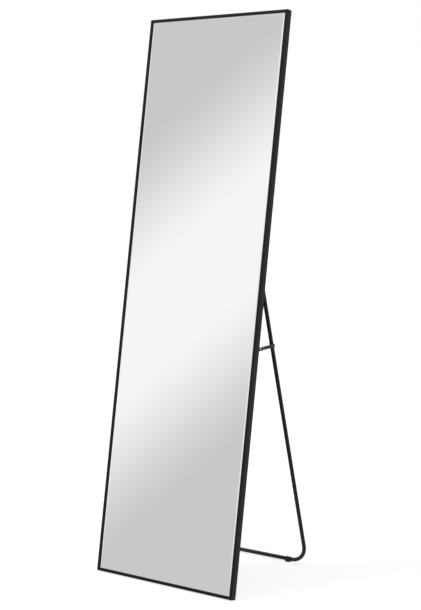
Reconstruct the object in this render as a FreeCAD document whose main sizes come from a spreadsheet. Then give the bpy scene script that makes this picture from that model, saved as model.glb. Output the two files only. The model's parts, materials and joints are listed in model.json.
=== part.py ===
import FreeCAD, Part
import math
import os

import Sketcher

# Leaning floor mirror: a tall glass in a slim aluminium frame, which rests on its bottom edge and
# on a folding stand behind it. The stand is one tube bent to a U, pivoted on two brackets on the
# frame's back, and a two-link folding stay on each side holds it open.
#
# Axes: +X to the right of someone who looks into the mirror, +Y to the back, +Z up. The origin is
# on the floor, in the middle of the footprint. Lengths are in millimetres, angles in degrees.
#
# Three local frames carry the pieces:
#   mirror  Z runs up the frame from its bottom edge, Y = 0 is the frame's back plane
#   leg     Z runs up the open stand's legs, the origin is on the pivots
#   stay    Y runs along an open stay from the frame to the leg

DRIVING_SIZES = (
    # the frame and what it holds
    ("frame_width", 500.0),
    ("frame_height", 1650.0),
    ("frame_depth", 20.0),
    ("face_width", 8.5),
    ("profile_wall", 1.2),
    ("lip_depth", 2.0),
    ("flange_width", 24.0),
    ("edge_break", 0.8),
    ("lip_break", 0.4),
    ("mitre_gap", 0.1),
    ("glass_thickness", 4.0),
    ("glass_play", 0.8),
    ("bevel_width", 12.0),
    ("bevel_drop", 1.0),
    ("foam_thickness", 2.0),
    ("board_thickness", 3.0),
    # the corner keys and the frame's screws
    ("key_arm", 55.0),
    ("key_play", 0.1),
    ("corner_screw_reach", 38.0),
    ("screw_inset", 12.0),
    ("screw_radius", 2.0),
    ("screw_bite", 5.7),
    ("screw_head_radius", 3.75),
    ("screw_head_height", 2.2),
    ("recess_arm", 2.0),
    ("recess_half", 0.5),
    ("recess_depth", 1.3),
    ("thread_lead", 0.6),
    ("screw_play", 0.05),
    # how the mirror stands
    ("stand_opening", 24.25),
    ("pad_rise", 1.0),
    ("pad_setback", 12.0),
    ("pad_length", 40.0),
    ("pad_inset", 45.0),
    # the stand
    ("pivot_height", 958.0),
    ("pivot_offset", 12.0),
    ("leg_length", 970.5),
    ("tube_inset", 46.0),
    ("tube_diameter", 12.0),
    ("tube_wall", 1.2),
    ("tube_bend", 56.0),
    ("tube_end", 10.0),
    ("plug_depth", 4.0),
    ("plug_rise", 3.0),
    ("foot_length", 17.5),
    ("foot_margin", 2.0),
    ("foot_wall", 1.3),
    ("foot_width", 11.0),
    ("foot_chamfer", 2.5),
    ("foot_edge", 0.8),
    ("sole_thickness", 3.0),
    ("seat_play", 0.05),
    # the pivots
    ("bracket_sheet", 2.5),
    ("bracket_edge", 3.0),
    ("bracket_corner", 4.0),
    ("bend_break", 1.2),
    ("pivot_plate", 46.0),
    ("pivot_screws", 30.0),
    ("pivot_ear", 8.5),
    ("bolt_radius", 2.5),
    ("bolt_head_radius", 4.75),
    ("bolt_head_height", 2.8),
    ("socket_radius", 1.73),
    ("socket_depth", 1.6),
    ("bolt_tail", 1.5),
    ("nut_radius", 4.6),
    ("nut_thickness", 5.0),
    ("collar_radius", 3.7),
    ("collar_height", 1.5),
    ("washer_radius", 5.5),
    ("washer_thickness", 1.0),
    ("running_gap", 0.3),
    ("running_fit", 0.05),
    # the stays
    ("stay_reach", 270.0),
    ("link_width", 10.0),
    ("link_thickness", 2.0),
    ("stay_plate", 34.0),
    ("stay_screws", 20.0),
    ("stay_ear", 7.0),
    ("rivet_radius", 2.0),
    ("rivet_head_radius", 3.5),
    ("rivet_head_height", 1.5),
    ("rivet_flange", 0.8),
    ("slot_length", 9.0),
    ("slot_width", 4.0),
    ("slot_margin", 5.0),
)

# What follows from the driving sizes. Across the mirror, x is taken on the right side.
LAYOUT = (
    ("half_width", "dims.frame_width / 2"),
    ("glass_back", "dims.lip_depth + dims.glass_thickness"),
    ("foam_back", "glass_back + dims.foam_thickness"),
    ("board_back", "foam_back + dims.board_thickness"),
    ("pane_inset", "dims.profile_wall + dims.glass_play"),
    ("tube_radius", "dims.tube_diameter / 2"),
    ("tube_x", "half_width - dims.tube_inset"),
    ("tube_side", "tube_x + tube_radius"),
    ("foot_radius", "tube_radius + dims.foot_wall"),
    ("foot_x", "tube_x - dims.tube_bend - dims.foot_margin - dims.foot_length / 2"),
    ("bar_z", "tube_radius + dims.sole_thickness"),
    # where the floor bar lies in the mirror frame, and the lean that brings it down to the floor
    ("bar_up", "dims.pivot_height - dims.leg_length * cos(dims.stand_opening)"),
    ("bar_out", "dims.pivot_offset + dims.leg_length * sin(dims.stand_opening)"),
    ("lean_angle", "(atan(bar_up / bar_out)"
                   " - asin((bar_z - dims.pad_rise) / sqrt(bar_up ^ 2 + bar_out ^ 2))) / 1 deg"),
    ("leg_tilt", "dims.stand_opening - lean_angle"),
    ("pivot_back", "dims.pivot_height * sin(lean_angle) + dims.pivot_offset * cos(lean_angle)"),
    ("pivot_z", "dims.pad_rise + dims.pivot_height * cos(lean_angle)"
                " - dims.pivot_offset * sin(lean_angle)"),
    ("bar_back", "pivot_back + dims.leg_length * sin(leg_tilt)"),
    ("front_reach", "dims.frame_depth * cos(lean_angle) - dims.edge_break * sin(lean_angle)"),
    ("mirror_y", "(front_reach - bar_back - foot_radius) / 2"),
    ("pivot_y", "mirror_y + pivot_back"),
    ("bar_y", "mirror_y + bar_back"),
    # the stay: two equal links between points at the same reach from the pivots
    ("stay_tilt", "(leg_tilt - lean_angle) / 2"),
    ("link_length", "dims.stay_reach * sin(dims.stand_opening / 2)"),
    ("stay_height", "dims.pivot_height - dims.stay_reach"),
    ("stay_y", "pivot_y - dims.stay_reach * sin(lean_angle)"),
    ("stay_z", "pivot_z - dims.stay_reach * cos(lean_angle)"),
    ("stay_mid_y", "stay_y + link_length * cos(stay_tilt)"),
    ("stay_mid_z", "stay_z + link_length * sin(stay_tilt)"),
    ("leg_link_in", "tube_side + dims.running_gap"),
    ("leg_link_out", "leg_link_in + dims.link_thickness"),
    ("frame_link_in", "leg_link_out + dims.running_gap"),
    ("frame_link_out", "frame_link_in + dims.link_thickness"),
    ("stay_ear_in", "frame_link_out + dims.running_gap"),
    ("stay_ear_out", "stay_ear_in + dims.bracket_sheet"),
    ("washer_in", "tube_x - tube_radius - dims.running_gap - dims.washer_thickness"),
    ("washer_out", "tube_side + dims.running_gap"),
    ("pivot_ear_in", "washer_out + dims.washer_thickness"),
    ("pivot_ear_out", "pivot_ear_in + dims.bracket_sheet"),
    ("nut_in", "washer_in - dims.nut_thickness"),
    ("screw_hole", "dims.screw_radius + dims.screw_play"),
    ("bolt_hole", "dims.bolt_radius + dims.running_fit"),
    ("rivet_hole", "dims.rivet_radius + dims.running_fit"),
    ("flange_hole", "dims.rivet_head_radius + 2 * dims.running_fit"),
    ("flange_pocket", "dims.rivet_flange + 4 * dims.running_fit"),
)

SIDES = (("left", -1), ("right", 1))
PLANE_SIGN = {"XY_Plane": 1, "XZ_Plane": -1, "YZ_Plane": 1}
PAST = 1            # how far a cut runs past what it cuts
HEAD_ROUND = 0.8    # the share of a head's height that is rounded
SAME_POINT = 1e-6   # two points this near are one

doc = FreeCAD.newDocument("floor_mirror")
dims = doc.addObject("Spreadsheet::Sheet", "dims")
layout = doc.addObject("Spreadsheet::Sheet", "layout")
parts = []


def fill_sheet(sheet, rows):
    """Write a sheet of names and contents, and give each content its name as alias."""
    for row, (alias, content) in enumerate(rows, 1):
        sheet.set(f"A{row}", alias)
        sheet.set(f"B{row}", content)
        sheet.setAlias(f"B{row}", alias)
    doc.recompute()


fill_sheet(dims, [(alias, str(size)) for alias, size in DRIVING_SIZES])
fill_sheet(layout, [(alias, "=" + formula) for alias, formula in LAYOUT])


# ---- helpers: sketches --------------------------------------------------------------------------

def number(expression):
    """The present value of an expression on the two sheets."""
    result = dims.evalExpression(expression)
    return float(getattr(result, "Value", result))


def new_sketch(body, name, plane, offset="0"):
    """A sketch on one of the body's own origin planes, shifted along the plane's normal."""
    sketch = body.newObject("Sketcher::SketchObject", name)
    support = next(item for item in body.Origin.OriginFeatures if item.Role == plane)
    sketch.AttachmentSupport = [(support, "")]
    sketch.MapMode = "FlatFace"
    sketch.setExpression("AttachmentOffset.Base.z", offset)
    return sketch


def bind(sketch, kind, points, expression):
    """Add a dimension between points of a sketch and bind it to an expression."""
    index = sketch.addConstraint(Sketcher.Constraint(kind, *points, number(expression)))
    sketch.setExpression(f"Constraints[{index}]", expression)


def pin_point(sketch, geometry, vertex, x, y):
    """Fix a point of a sketch at a place measured from the sketch's origin."""
    bind(sketch, "DistanceX", (-1, 1, geometry, vertex), x)
    bind(sketch, "DistanceY", (-1, 1, geometry, vertex), y)


def polygon(*corners):
    """A drawing of one closed outline through the corners, each a pair of expressions."""
    def draw(sketch):
        points = [FreeCAD.Vector(number(x), number(y), 0) for x, y in corners]
        first = sketch.GeometryCount
        count = len(points)
        for index in range(count):
            sketch.addGeometry(Part.LineSegment(points[index], points[(index + 1) % count]), False)
        for index, (x, y) in enumerate(corners):
            following = (index + 1) % count
            joint = Sketcher.Constraint("Coincident", first + index, 2, first + following, 1)
            sketch.addConstraint(joint)
            pin_point(sketch, first + index, 1, x, y)
    return draw


def rectangle(low_x, low_y, high_x, high_y):
    """A drawing of a rectangle between two corners."""
    return polygon((low_x, low_y), (high_x, low_y), (high_x, high_y), (low_x, high_y))


def circle(x, y, radius):
    """A drawing of a circle."""
    def draw(sketch):
        centre = FreeCAD.Vector(number(x), number(y), 0)
        outline = Part.Circle(centre, FreeCAD.Vector(0, 0, 1), number(radius))
        index = sketch.addGeometry(outline, False)
        pin_point(sketch, index, 3, x, y)
        bind(sketch, "Radius", (index,), radius)
    return draw


def hexagon(x, y, radius):
    """A drawing of a hexagon with its corners on a circle."""
    corners = []
    for angle in range(0, 360, 60):
        corners.append((f"{x} + ({radius}) * cos({angle})", f"{y} + ({radius}) * sin({angle})"))
    return polygon(*corners)


# ---- helpers: features --------------------------------------------------------------------------

def new_body(name):
    """An empty body under its own label."""
    body = doc.addObject("PartDesign::Body", name)
    body.Label = name
    return body


def extrude(body, name, plane, low, high, *drawings, cut=False):
    """Pad, or cut, drawings on an origin plane from low to high along the plane's positive axis."""
    start = low if PLANE_SIGN[plane] > 0 else f"-({high})"
    sketch = new_sketch(body, f"{name}_outline", plane, start)
    for draw in drawings:
        draw(sketch)
    feature = body.newObject("PartDesign::Pocket" if cut else "PartDesign::Pad", name)
    feature.Profile = sketch
    feature.Reversed = cut
    feature.setExpression("Length", f"({high}) - ({low})")
    doc.recompute()
    return feature


def turn(body, name, plane, axis, *corners):
    """Turn a closed outline about the sketch's own H or V axis."""
    sketch = new_sketch(body, f"{name}_outline", plane)
    polygon(*corners)(sketch)
    feature = body.newObject("PartDesign::Revolution", name)
    feature.Profile = sketch
    feature.ReferenceAxis = (sketch, [f"{axis}_Axis"])
    feature.Angle = 360
    doc.recompute()
    return feature


def round_rim(body, centre, size):
    """Fillet a turned piece where its end face, centred on a point, meets its side."""
    base = body.Tip
    point = FreeCAD.Vector(*[number(value) for value in centre])
    rims = []
    for index, edge in enumerate(base.Shape.Edges, 1):
        if isinstance(edge.Curve, Part.Circle) and edge.Curve.Center.isEqual(point, SAME_POINT):
            rims.append((edge.Curve.Radius, f"Edge{index}"))
    feature = body.newObject("PartDesign::Fillet", "rounded_rim")
    feature.Base = (base, [max(rims)[1]])
    feature.setExpression("Radius", size)
    doc.recompute()
    return feature


def place(body, x, y, z, tilt):
    """Bind a placement: a point, and a turn about the X axis."""
    for axis, amount in (("x", "1"), ("y", "0"), ("z", "0")):
        body.setExpression(f"Placement.Rotation.Axis.{axis}", amount)
    body.setExpression("Placement.Rotation.Angle", tilt)
    body.setExpression("Placement.Base.x", x)
    body.setExpression("Placement.Base.y", y)
    body.setExpression("Placement.Base.z", z)


def place_on_mirror(body, x="0", height="0"):
    """Place a body on the frame's back plane, at a height up the frame."""
    place(body, x, f"layout.mirror_y + ({height}) * sin(layout.lean_angle)",
          f"dims.pad_rise + ({height}) * cos(layout.lean_angle)", "-layout.lean_angle")


def place_on_leg(body, x="0", rise="0"):
    """Place a body on the open stand, at a rise up the legs from the pivots."""
    place(body, x, f"layout.pivot_y - ({rise}) * sin(layout.leg_tilt)",
          f"layout.pivot_z + ({rise}) * cos(layout.leg_tilt)", "layout.leg_tilt")


def place_on_pivots(body):
    """Place a body drawn about the pivots' axis, square to the mirror."""
    place(body, "0", "layout.pivot_y", "layout.pivot_z", "-layout.lean_angle")


def outward(side, near, far):
    """The low and high x of a stretch that runs outwards from near to far on one side."""
    if side > 0:
        return near, far
    return f"-({far})", f"-({near})"


def mirrored(side, *corners):
    """Corners (x, y) given for the right side, taken to the given side."""
    return [(f"{side} * ({x})", y) for x, y in corners]


def keep(piece):
    """Count a finished piece among the sub-parts."""
    parts.append(piece)
    return piece


def group(name, bodies):
    """One sub-part made of several equal loose pieces."""
    compound = doc.addObject("Part::Compound", name)
    compound.Label = name
    compound.Links = bodies
    doc.recompute()
    return keep(compound)


# ---- the frame ----------------------------------------------------------------------------------

def profile_corners(across, deep):
    """The frame section: across measures inwards from the outer side, deep back from the face."""
    edge = "dims.edge_break"
    lip = "dims.face_width"
    wall = "dims.profile_wall"
    depth = "dims.frame_depth"
    section = (
        ("0", edge), (edge, "0"), (f"{lip} - dims.lip_break", "0"), (lip, "dims.lip_break"),
        (lip, "dims.lip_depth"), (f"{lip} - {wall}", "dims.lip_depth"), (f"{lip} - {wall}", wall),
        (wall, wall), (wall, "layout.board_back"), ("dims.flange_width", "layout.board_back"),
        ("dims.flange_width", depth), (edge, depth), ("0", f"{depth} - {edge}"),
    )
    return [(across(s), deep(q)) for s, q in section]


def chamber_corners(across, deep):
    """The closed hollow of the section, which takes the corner keys."""
    near = "dims.profile_wall"
    far = "dims.flange_width - dims.profile_wall"
    front = "layout.board_back + dims.profile_wall"
    back = "dims.frame_depth - dims.profile_wall"
    section = ((near, front), (far, front), (far, back), (near, back))
    return [(across(s), deep(q)) for s, q in section]


def depth_to_y(depth):
    """The mirror frame's y of a depth behind the face."""
    return f"({depth}) - dims.frame_depth"


def screw_holes(body, *places):
    """Holes for screws through the back flange, at (x, z) in the mirror frame."""
    drawings = [circle(x, z, "layout.screw_hole") for x, z in places]
    extrude(body, "screw_holes", "XZ_Plane", f"-dims.profile_wall - {PAST}", "0", *drawings, cut=True)


def frame_stile(name, side):
    """A side member: the section run up the mirror, mitred at both ends."""
    def across(inset):
        return f"{side} * (layout.half_width - ({inset}))"

    body = new_body(name)
    extrude(body, "section", "XY_Plane", "0", "dims.frame_height",
            polygon(*profile_corners(across, depth_to_y)),
            polygon(*chamber_corners(across, depth_to_y)))
    outer = across("0")
    inner = across("2 * dims.flange_width")
    mitres = []
    for end, up in (("0", 1), ("dims.frame_height", -1)):
        past = f"{end} - {up} * {PAST}"
        mitres.append(polygon((outer, past), (outer, f"{end} + {up} * dims.mitre_gap"),
                              (inner, f"{end} + {up} * (2 * dims.flange_width + dims.mitre_gap)"),
                              (inner, past)))
    extrude(body, "mitres", "XZ_Plane", f"-dims.frame_depth - {PAST}", f"{PAST}", *mitres, cut=True)
    screw_x = across("dims.screw_inset")
    heights = ["dims.corner_screw_reach", "dims.frame_height - dims.corner_screw_reach"]
    for centre, spacing in (("dims.pivot_height", "dims.pivot_screws"),
                            ("layout.stay_height", "dims.stay_screws")):
        heights.append(f"{centre} - {spacing} / 2")
        heights.append(f"{centre} + {spacing} / 2")
    screw_holes(body, *[(screw_x, height) for height in heights])
    place_on_mirror(body)
    return keep(body)


def frame_rail(name, end, up):
    """A cross member: the section run across the mirror, mitred; end is its outer edge's height."""
    def rise(inset):
        return f"{end} + {up} * ({inset})"

    body = new_body(name)
    drawings = []
    for outline in (profile_corners, chamber_corners):
        drawings.append(polygon(*[(y, z) for z, y in outline(rise, depth_to_y)]))
    extrude(body, "section", "YZ_Plane", "-layout.half_width", "layout.half_width", *drawings)
    reach = "2 * dims.flange_width"
    mitres = []
    for _, side in SIDES:
        outer = f"{side} * (layout.half_width + {PAST})"
        edge = f"{side} * (layout.half_width - dims.mitre_gap)"
        inner = f"{side} * (layout.half_width - {reach} - dims.mitre_gap)"
        mitres.append(polygon((outer, rise("0")), (edge, rise("0")), (inner, rise(reach)),
                              (outer, rise(reach))))
    extrude(body, "mitres", "XZ_Plane", f"-dims.frame_depth - {PAST}", f"{PAST}", *mitres, cut=True)
    screw_x = "layout.half_width - dims.corner_screw_reach"
    screw_z = rise("dims.screw_inset")
    screw_holes(body, (f"-({screw_x})", screw_z), (screw_x, screw_z))
    place_on_mirror(body)
    return keep(body)


def corner_key(name, side, end, up):
    """An angle that fills the hollow of both members at a corner and takes a screw in each arm."""
    body = new_body(name)
    near = "dims.profile_wall + dims.key_play"
    far = "dims.flange_width - dims.profile_wall - dims.key_play"
    arm = "dims.key_arm"
    angle = ((near, near), (arm, near), (arm, far), (far, far), (far, arm), (near, arm))
    corners = [(f"{side} * (layout.half_width - ({a}))", f"{end} + {up} * ({b})") for a, b in angle]
    front = "layout.board_back + dims.profile_wall + dims.key_play - dims.frame_depth"
    back = "-dims.profile_wall - dims.key_play"
    extrude(body, "angle", "XZ_Plane", front, back, polygon(*corners))
    holes = []
    for a, b in (("dims.screw_inset", "dims.corner_screw_reach"),
                 ("dims.corner_screw_reach", "dims.screw_inset")):
        holes.append(circle(f"{side} * (layout.half_width - {a})", f"{end} + {up} * {b}",
                            "layout.screw_hole"))
    extrude(body, "screw_holes", "XZ_Plane", front, back, *holes, cut=True)
    place_on_mirror(body)
    return keep(body)


def pane(name, front, back, bevelled=False):
    """A full-size sheet between two depths behind the face, inside the frame's groove."""
    body = new_body(name)
    edge_x = "layout.half_width - layout.pane_inset"
    extrude(body, "sheet", "XZ_Plane", depth_to_y(front), depth_to_y(back),
            rectangle(f"-({edge_x})", "layout.pane_inset", edge_x,
                      "dims.frame_height - layout.pane_inset"))
    if bevelled:
        bevel(body, edge_x, depth_to_y(front))
    place_on_mirror(body)
    return keep(body)


def bevel(body, edge_x, face_y):
    """Take a shallow polished bevel off the front of a pane, all the way round."""
    low_z = "layout.pane_inset"
    high_z = "dims.frame_height - layout.pane_inset"
    for _, side in SIDES:
        edge = f"{side} * ({edge_x})"
        start = f"{side} * ({edge_x} - dims.bevel_width)"
        extrude(body, "side_bevel", "XY_Plane", f"{low_z} - {PAST}", f"{high_z} + {PAST}",
                polygon((start, face_y), (edge, face_y), (edge, f"{face_y} + dims.bevel_drop")),
                cut=True)
    for end, up in ((low_z, 1), (high_z, -1)):
        start = f"{end} + {up} * dims.bevel_width"
        extrude(body, "end_bevel", "YZ_Plane", f"-({edge_x}) - {PAST}", f"{edge_x} + {PAST}",
                polygon((face_y, start), (face_y, end), (f"{face_y} + dims.bevel_drop", end)),
                cut=True)


def floor_pad(name, side):
    """A soft pad under the bottom rail, pressed to a wedge: its sole lies flat on the floor."""
    def sole(y):
        return f"(({y}) * sin(layout.lean_angle) - dims.pad_rise) / cos(layout.lean_angle)"

    body = new_body(name)
    front = "dims.pad_setback - dims.frame_depth"
    back = "-dims.edge_break"
    extrude(body, "wedge", "YZ_Plane", "-dims.pad_length / 2", "dims.pad_length / 2",
            polygon((front, "0"), (back, "0"), (back, sole(back)), (front, sole(front))))
    place_on_mirror(body, f"{side} * (layout.half_width - dims.pad_inset)")
    return keep(body)


# ---- the fasteners ------------------------------------------------------------------------------

def screw(name, x, height, plate):
    """A pan-head screw into the back flange; plate is the thickness clamped under its head."""
    body = new_body(name)
    head = "dims.screw_head_radius"
    shank = "dims.screw_radius"
    lead = "dims.thread_lead"
    top = f"({plate}) + dims.screw_head_height"
    tip = "-dims.screw_bite"
    turn(body, "turned", "XY_Plane", "V",
         ("0", tip), (f"{shank} - {lead}", tip), (shank, f"{tip} + {lead}"), (shank, plate),
         (head, plate), (head, top), ("0", top))
    round_rim(body, ("0", top, "0"), f"{HEAD_ROUND} * dims.screw_head_height")
    extrude(body, "cross_recess", "XZ_Plane", f"{top} - dims.recess_depth", f"{top} + {PAST}",
            cross("dims.recess_arm", "dims.recess_half"), cut=True)
    place_on_mirror(body, x, height)
    return body


def cross(arm, half):
    """A drawing of a cross with four equal arms, centred on the sketch's origin."""
    quarter = [(arm, half), (half, half), (half, arm)]
    outline = []
    for _ in range(4):
        outline += quarter
        quarter = [(f"-({y})", x) for x, y in quarter]
    return polygon(*outline)


def pivot_bolt(name, side):
    """A button-head bolt through the bracket's ear, the washers, the tube and the nut."""
    body = new_body(name)
    seat = "layout.pivot_ear_out"
    crown = f"{seat} + dims.bolt_head_height"
    tail = "layout.nut_in - dims.bolt_tail"
    shank = "dims.bolt_radius"
    head = "dims.bolt_head_radius"
    lead = "dims.thread_lead"
    turn(body, "turned", "XY_Plane", "H", *mirrored(
        side, (tail, "0"), (tail, f"{shank} - {lead}"), (f"{tail} + {lead}", shank),
        (seat, shank), (seat, head), (crown, head), (crown, "0")))
    round_rim(body, (f"{side} * ({crown})", "0", "0"), f"{HEAD_ROUND} * dims.bolt_head_height")
    low, high = outward(side, f"{crown} - dims.socket_depth", f"{crown} + {PAST}")
    extrude(body, "socket", "YZ_Plane", low, high, hexagon("0", "0", "dims.socket_radius"), cut=True)
    place_on_pivots(body)
    return keep(body)


def pivot_nut(name, side):
    """A hexagon lock nut inside the tube's line, with its collar inwards."""
    body = new_body(name)
    low, high = outward(side, "layout.nut_in + dims.collar_height", "layout.washer_in")
    extrude(body, "hexagon", "YZ_Plane", low, high, hexagon("0", "0", "dims.nut_radius"))
    low, high = outward(side, "layout.nut_in", "layout.washer_in")
    extrude(body, "collar", "YZ_Plane", low, high, circle("0", "0", "dims.collar_radius"))
    extrude(body, "thread", "YZ_Plane", low, high, circle("0", "0", "layout.bolt_hole"), cut=True)
    place_on_pivots(body)
    return keep(body)


def washer(name, side, near):
    """A plastic washer on a pivot bolt, from near outwards."""
    body = new_body(name)
    low, high = outward(side, near, f"{near} + dims.washer_thickness")
    extrude(body, "ring", "YZ_Plane", low, high, circle("0", "0", "dims.washer_radius"),
            circle("0", "0", "layout.bolt_hole"))
    place_on_pivots(body)
    return body


def bracket(name, side, height, ear_in, plate, screws, ear, hole):
    """A bent sheet angle: a plate screwed to the frame's back and a rounded ear across it."""
    body = new_body(name)
    sheet = "dims.bracket_sheet"
    ear_out = f"({ear_in}) + {sheet}"
    edge = "layout.half_width - dims.bracket_edge"
    lift = "dims.pivot_offset"
    bend = "dims.bend_break"
    extrude(body, "bent_strip", "XY_Plane", f"-({ear})", ear, polygon(*mirrored(
        side, (f"{ear_in} + {bend}", "0"), (edge, "0"), (edge, sheet), (ear_out, sheet),
        (ear_out, lift), (ear_in, lift), (ear_in, bend))))
    low, high = outward(side, ear_in, ear_out)
    extrude(body, "ear_tip", "YZ_Plane", low, high, circle(lift, "0", ear))
    half = f"({plate}) / 2"
    corner = "dims.bracket_corner"
    extrude(body, "plate", "XZ_Plane", "0", sheet, polygon(*mirrored(
        side, (ear_out, f"-{half}"), (f"{edge} - {corner}", f"-{half}"), (edge, f"{corner} - {half}"),
        (edge, f"{half} - {corner}"), (f"{edge} - {corner}", half), (ear_out, half))))
    extrude(body, "pin_hole", "YZ_Plane", low, high, circle(lift, "0", hole), cut=True)
    screw_x = f"{side} * (layout.half_width - dims.screw_inset)"
    extrude(body, "screw_holes", "XZ_Plane", "0", sheet,
            circle(screw_x, f"-({screws}) / 2", "layout.screw_hole"),
            circle(screw_x, f"({screws}) / 2", "layout.screw_hole"), cut=True)
    place_on_mirror(body, "0", height)
    return keep(body)


def bracket_screws(name, height, spacing):
    """The screws of one pair of brackets."""
    screws = []
    for label, side in SIDES:
        for sign in (-1, 1):
            screws.append(screw(f"{name}_{label}_{'low' if sign < 0 else 'high'}",
                                f"{side} * (layout.half_width - dims.screw_inset)",
                                f"{height} + {sign} * {spacing} / 2", "dims.bracket_sheet"))
    return group(name, screws)


# ---- the stand ----------------------------------------------------------------------------------

def stand_tube():
    """One round tube bent to a U: two legs and the floor bar, drilled for pivots and stays."""
    body = new_body("stand_tube")
    path = new_sketch(body, "centre_line", "XZ_Plane")
    bend = "dims.tube_bend"
    leg_x = "layout.tube_x"
    bar_x = f"{leg_x} - {bend}"
    bar_z = "-dims.leg_length"
    bend_z = f"{bar_z} + {bend}"
    runs = (
        ((leg_x, "dims.tube_end"), (leg_x, bend_z)),
        ((bar_x, bar_z), (f"-({bar_x})", bar_z)),
        ((f"-{leg_x}", bend_z), (f"-{leg_x}", "dims.tube_end")),
    )
    for run in runs:
        start, end = [FreeCAD.Vector(number(x), number(z), 0) for x, z in run]
        line = path.addGeometry(Part.LineSegment(start, end), False)
        pin_point(path, line, 1, *run[0])
        pin_point(path, line, 2, *run[1])
    # each bend is a quarter turn, drawn anticlockwise, between the ends of two runs
    for side, begins, ends in ((1, (1, 1), (0, 2)), (-1, (2, 1), (1, 2))):
        centre = FreeCAD.Vector(side * number(bar_x), number(bend_z), 0)
        ring = Part.Circle(centre, FreeCAD.Vector(0, 0, 1), number(bend))
        begin = 1.5 * math.pi if side > 0 else math.pi
        arc = path.addGeometry(Part.ArcOfCircle(ring, begin, begin + math.pi / 2), False)
        path.addConstraint(Sketcher.Constraint("Coincident", arc, 1, *begins))
        path.addConstraint(Sketcher.Constraint("Coincident", arc, 2, *ends))
        bind(path, "Radius", (arc,), bend)
    section = new_sketch(body, "tube_section", "XY_Plane", "dims.tube_end")
    circle(leg_x, "0", "layout.tube_radius")(section)
    circle(leg_x, "0", "layout.tube_radius - dims.tube_wall")(section)
    pipe = body.newObject("PartDesign::AdditivePipe", "bent_tube")
    pipe.Profile = section
    pipe.Spine = path
    doc.recompute()
    reach = "layout.half_width"
    extrude(body, "pivot_holes", "YZ_Plane", f"-{reach}", reach,
            circle("0", "0", "layout.bolt_hole"), cut=True)
    extrude(body, "stay_holes", "YZ_Plane", f"-{reach}", reach,
            circle("0", "-dims.stay_reach", "layout.rivet_hole"), cut=True)
    place_on_leg(body)
    return keep(body)


def tube_plug(name, side):
    """A plastic plug that closes the top of a leg."""
    body = new_body(name)
    inner = "layout.tube_radius - dims.tube_wall - dims.seat_play"
    outer = "layout.tube_radius"
    rise = "dims.plug_rise"
    turn(body, "turned", "XZ_Plane", "V",
         ("0", "-dims.plug_depth"), (inner, "-dims.plug_depth"), (inner, "0"), (outer, "0"),
         (outer, rise), ("0", rise))
    round_rim(body, ("0", "0", rise), f"{HEAD_ROUND} * {rise}")
    place_on_leg(body, f"{side} * layout.tube_x", "dims.tube_end")
    return keep(body)


def stand_foot(name, side):
    """A rubber foot pushed on the floor bar: a sleeve with a flat-soled block under it."""
    body = new_body(name)
    half = "dims.foot_length / 2"
    outer = "layout.foot_radius"
    inner = "layout.tube_radius + dims.seat_play"
    soft = "dims.foot_edge"
    turn(body, "sleeve", "XY_Plane", "H",
         (f"-{half}", inner), (f"-{half}", f"{outer} - {soft}"), (f"{soft} - {half}", outer),
         (f"{half} - {soft}", outer), (half, f"{outer} - {soft}"), (half, inner))
    cut = "dims.foot_chamfer"
    sole = "-layout.bar_z"
    extrude(body, "block", "XZ_Plane", "-dims.foot_width / 2", "dims.foot_width / 2",
            polygon((f"-{half}", "0"), (f"-{half}", f"{sole} + {cut}"), (f"{cut} - {half}", sole),
                    (f"{half} - {cut}", sole), (half, f"{sole} + {cut}"), (half, "0")))
    extrude(body, "bore", "YZ_Plane", f"-{half}", half, circle("0", "0", inner), cut=True)
    place(body, f"{side} * layout.foot_x", "layout.bar_y", "layout.bar_z", "0")
    return keep(body)


# ---- the stays ----------------------------------------------------------------------------------

def link_outline(body, low, high):
    """A flat link with round ends, from the origin to the link's length along Y."""
    half = "dims.link_width / 2"
    extrude(body, "strip", "YZ_Plane", low, high,
            rectangle("0", f"-{half}", "layout.link_length", half))
    extrude(body, "round_ends", "YZ_Plane", low, high, circle("0", "0", half),
            circle("layout.link_length", "0", half))


def stay_frame_link(name, side):
    """The stay's link on the frame, with a long slot beside the middle rivet."""
    body = new_body(name)
    low, high = outward(side, "layout.frame_link_in", "layout.frame_link_out")
    link_outline(body, low, high)
    extrude(body, "rivet_holes", "YZ_Plane", low, high, circle("0", "0", "layout.rivet_hole"),
            circle("layout.link_length", "0", "layout.rivet_hole"), cut=True)
    flange = outward(side, "layout.frame_link_in", "layout.frame_link_in + layout.flange_pocket")
    extrude(body, "flange_pocket", "YZ_Plane", *flange, circle("0", "0", "layout.flange_hole"), cut=True)
    half = "dims.slot_width / 2"
    end = f"layout.link_length - dims.slot_margin - {half}"
    start = f"{end} - dims.slot_length + dims.slot_width"
    extrude(body, "slot", "YZ_Plane", low, high, rectangle(start, f"-{half}", end, half), cut=True)
    extrude(body, "slot_ends", "YZ_Plane", low, high, circle(start, "0", half),
            circle(end, "0", half), cut=True)
    place(body, "0", "layout.stay_y", "layout.stay_z", "layout.stay_tilt")
    return keep(body)


def stay_leg_link(name, side):
    """The stay's link on the leg, countersunk where the leg's rivet holds it."""
    body = new_body(name)
    near, far = "layout.leg_link_in", "layout.leg_link_out"
    low, high = outward(side, near, far)
    link_outline(body, low, high)
    extrude(body, "rivet_holes", "YZ_Plane", low, high, circle("0", "0", "layout.rivet_hole"),
            circle("layout.link_length", "0", "layout.rivet_hole"), cut=True)
    flange = outward(side, near, f"{near} + layout.flange_pocket")
    extrude(body, "flange_pocket", "YZ_Plane", *flange, circle("0", "0", "layout.flange_hole"), cut=True)
    head = outward(side, f"{far} - dims.rivet_flange", far)
    extrude(body, "head_seat", "YZ_Plane", *head,
            circle("layout.link_length", "0", "dims.rivet_head_radius + dims.running_fit"), cut=True)
    place(body, "0", "layout.stay_mid_y", "layout.stay_mid_z", "layout.stay_tilt")
    return keep(body)


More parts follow.
